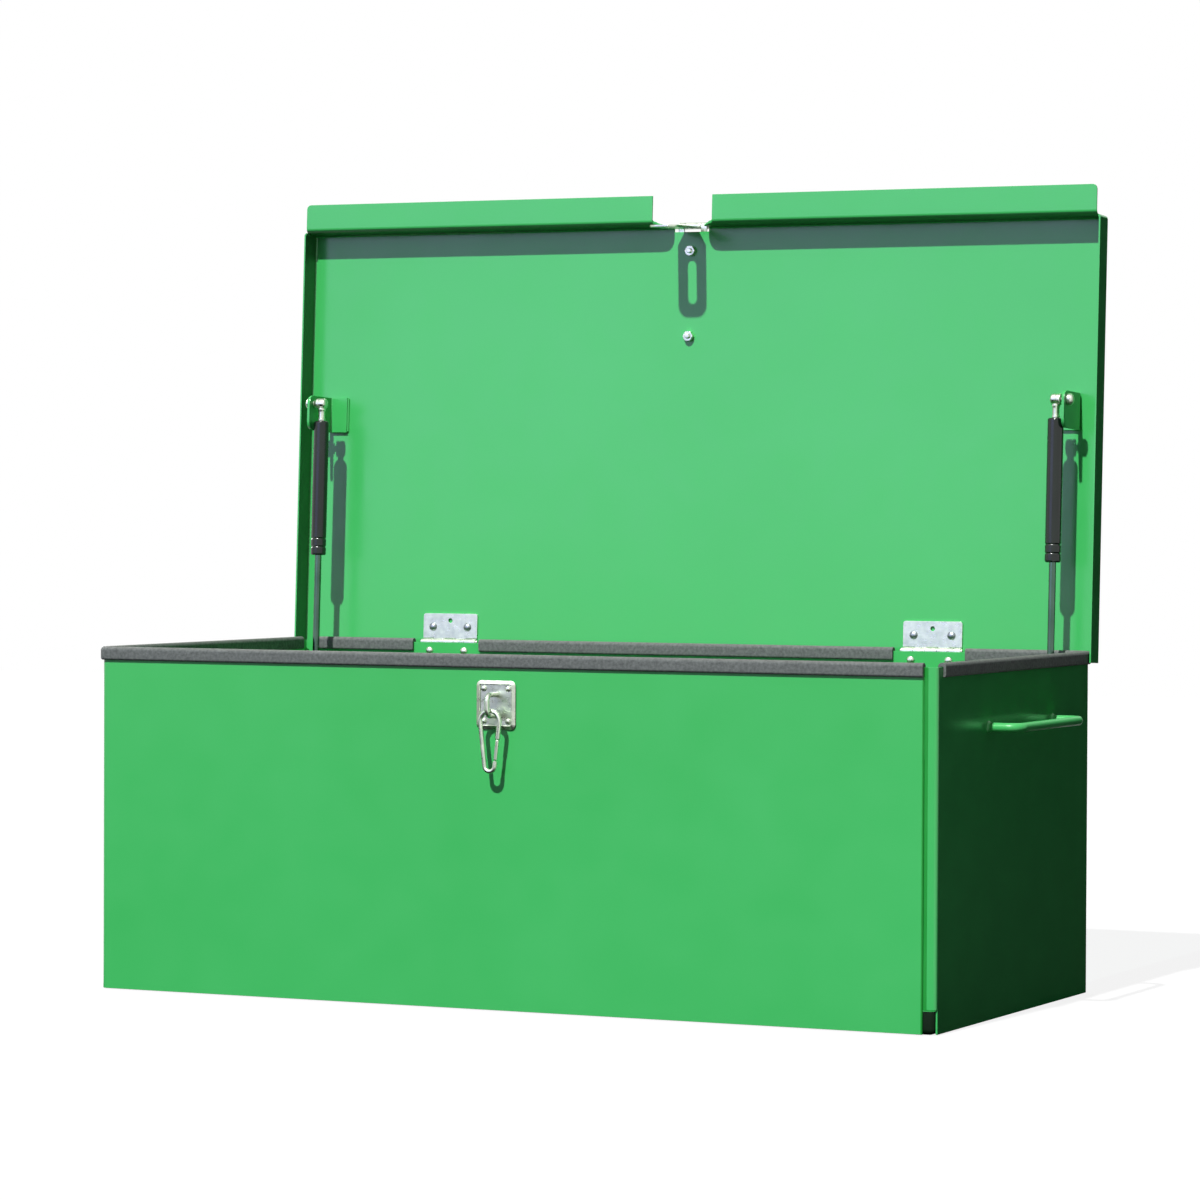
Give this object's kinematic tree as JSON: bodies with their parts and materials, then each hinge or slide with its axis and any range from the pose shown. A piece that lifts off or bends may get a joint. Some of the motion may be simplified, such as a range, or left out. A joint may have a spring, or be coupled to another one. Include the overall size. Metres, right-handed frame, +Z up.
{
  "type": "tractor tool box",
  "caption": "Long folded sheet steel tool chest with a rubber-sealed rim, a lid held open by gas struts, a slotted hasp with a spring clip, and carrying handles.",
  "frame": {"origin": "centre of the floor's underside", "axes": "+X along the width to the right, +Y to the hinge side, +Z up"},
  "size_m": [1.078, 0.5392, 0.9046],
  "materials": {
    "green_paint": "gloss",
    "rubber": "matte",
    "zinc_plate": "satin",
    "black_paint": "satin",
    "hard_chrome": "polished"
  },
  "bodies": {
    "box": {"front_left_sheet": "green_paint", "back_right_sheet": "green_paint", "floor_pan": "green_paint", "seal_front_left": "rubber", "seal_back_left": "rubber", "seal_back_middle": "rubber", "seal_back_right": "rubber", "staple_plate": "zinc_plate", "staple_eye": "zinc_plate", "staple_rivet_1": "zinc_plate", "staple_rivet_2": "zinc_plate", "staple_rivet_3": "zinc_plate", "staple_rivet_4": "zinc_plate", "hinge_left_box_leaf": "zinc_plate", "hinge_left_pin": "zinc_plate", "hinge_left_box_rivet_1": "zinc_plate", "hinge_left_box_rivet_2": "zinc_plate", "handle_left": "green_paint", "strut_left_wall_bracket": "green_paint", "strut_left_wall_stud": "zinc_plate", "hinge_right_box_leaf": "zinc_plate", "hinge_right_pin": "zinc_plate", "hinge_right_box_rivet_1": "zinc_plate", "hinge_right_box_rivet_2": "zinc_plate", "handle_right": "green_paint", "strut_right_wall_bracket": "green_paint", "strut_right_wall_stud": "zinc_plate"},
    "lid": {"lid": "green_paint", "hasp_leaf": "zinc_plate", "hasp_pin": "zinc_plate", "hasp_bolt_front": "zinc_plate", "hasp_bolt_rear": "zinc_plate", "hasp_nut_front": "zinc_plate", "hasp_nut_rear": "zinc_plate", "hinge_left_lid_leaf": "zinc_plate", "hinge_left_lid_rivet_1": "zinc_plate", "hinge_left_lid_rivet_2": "zinc_plate", "strut_left_lid_bracket": "green_paint", "strut_left_lid_stud": "zinc_plate", "hinge_right_lid_leaf": "zinc_plate", "hinge_right_lid_rivet_1": "zinc_plate", "hinge_right_lid_rivet_2": "zinc_plate", "strut_right_lid_bracket": "green_paint", "strut_right_lid_stud": "zinc_plate"},
    "hasp_strap": {"hasp_strap": "zinc_plate"},
    "clip": {"clip_body": "zinc_plate"},
    "clip_gate": {"clip_gate": "zinc_plate"},
    "strut_left_barrel": {"strut_left_upper_socket": "zinc_plate", "strut_left_barrel": "black_paint"},
    "strut_left_rod": {"strut_left_rod": "hard_chrome", "strut_left_lower_socket": "zinc_plate"},
    "strut_right_barrel": {"strut_right_upper_socket": "zinc_plate", "strut_right_barrel": "black_paint"},
    "strut_right_rod": {"strut_right_rod": "hard_chrome", "strut_right_lower_socket": "zinc_plate"}
  },
  "joints": [
    {"name": "lid_hinge", "type": "hinge", "parent": "box", "child": "lid", "pos_m": [0, 0.2403, 0.379], "axis": [1, 0, 0], "range_deg": [0, 92.6]},
    {"name": "hasp_hinge", "type": "hinge", "parent": "lid", "child": "hasp_strap", "pos_m": [-0.005, 0.27323, 0.87051], "axis": [-1, 0, 0], "range_deg": [0, 250]},
    {"name": "clip_swing", "type": "hinge", "parent": "box", "child": "clip", "pos_m": [-0.005, -0.2525, 0.31755], "axis": [0, 1, 0], "range_deg": [-40, 40]},
    {"name": "clip_gate_hinge", "type": "hinge", "parent": "clip", "child": "clip_gate", "pos_m": [0.0044, -0.2525, 0.29289], "axis": [0, 1, 0], "range_deg": [0, 15]},
    {"name": "strut_left_swing", "type": "hinge", "parent": "lid", "child": "strut_left_barrel", "pos_m": [-0.4667, 0.21148, 0.6636], "axis": [1, 0, 0], "range_deg": [-2.72, 0]},
    {"name": "strut_left_stroke", "type": "slide", "parent": "strut_left_barrel", "child": "strut_left_rod", "axis": [0, 0.0454, 0.999], "range_m": [0, 0.09888]},
    {"name": "strut_right_swing", "type": "hinge", "parent": "lid", "child": "strut_right_barrel", "pos_m": [0.4667, 0.21148, 0.6636], "axis": [1, 0, 0], "range_deg": [-2.72, 0]},
    {"name": "strut_right_stroke", "type": "slide", "parent": "strut_right_barrel", "child": "strut_right_rod", "axis": [0, 0.0454, 0.999], "range_m": [0, 0.09888]}
  ],
  "couplings": [
    {"joint": "strut_left_swing", "follows": "lid_hinge", "ratio": -0.029385},
    {"joint": "strut_left_stroke", "follows": "lid_hinge", "m_per_rad": 0.061183},
    {"joint": "strut_right_swing", "follows": "lid_hinge", "ratio": -0.029385},
    {"joint": "strut_right_stroke", "follows": "lid_hinge", "m_per_rad": 0.061183}
  ]
}
